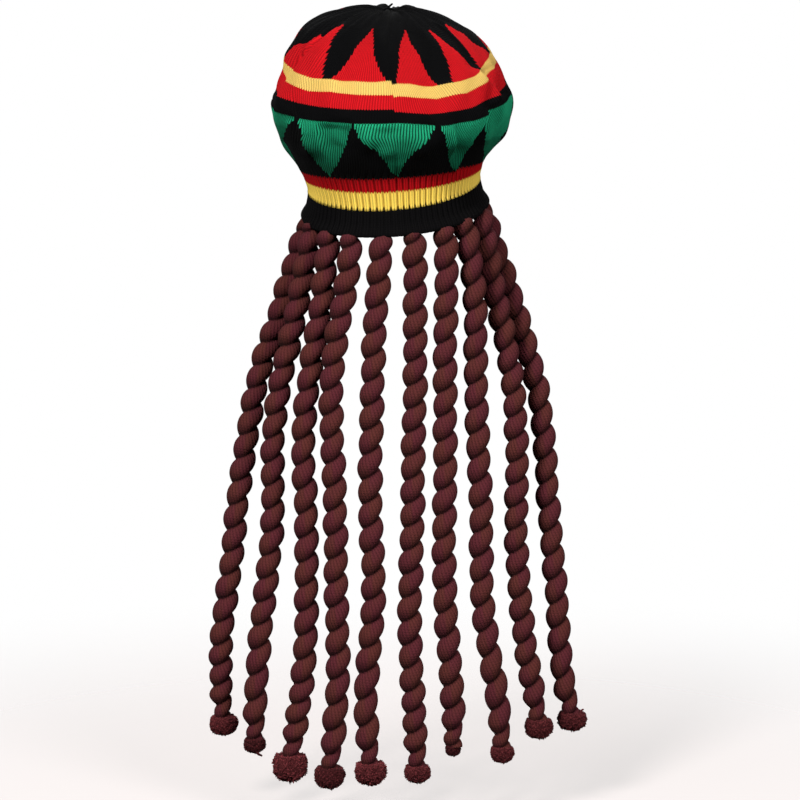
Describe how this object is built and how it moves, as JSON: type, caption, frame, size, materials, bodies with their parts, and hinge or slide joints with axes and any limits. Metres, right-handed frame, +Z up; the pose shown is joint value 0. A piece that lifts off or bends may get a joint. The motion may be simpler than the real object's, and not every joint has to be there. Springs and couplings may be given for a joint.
{
  "type": "rasta hat",
  "caption": "Slouched knitted tam with stripes and zigzag points, a ribbed cuff, and long twisted brown locks ending in pompoms round its back and sides.",
  "frame": {"origin": "middle of the head opening, in the plane of the cuff's lower edge, where a head carries the hat", "axes": "+Z up, -Y the back of the hat, where the locks hang, +Y the side of the face, +X to the right as seen from the back"},
  "size_m": [0.3522, 0.2379, 0.7099],
  "materials": {
    "striped_knit": "matte",
    "black_knit": "matte",
    "lock_knit": "matte",
    "cut_yarn": "matte"
  },
  "bodies": {
    "root": {"crown": "striped_knit", "cuff": "black_knit", "lock_01": "lock_knit", "lock_02": "lock_knit", "lock_03": "lock_knit", "lock_04": "lock_knit", "lock_05": "lock_knit", "lock_06": "lock_knit", "lock_07": "lock_knit", "lock_08": "lock_knit", "lock_09": "lock_knit", "lock_10": "lock_knit", "pompom_01": "cut_yarn", "pompom_02": "cut_yarn", "pompom_03": "cut_yarn", "pompom_04": "cut_yarn", "pompom_05": "cut_yarn", "pompom_06": "cut_yarn", "pompom_07": "cut_yarn", "pompom_08": "cut_yarn", "pompom_09": "cut_yarn", "pompom_10": "cut_yarn"}
  },
  "joints": []
}
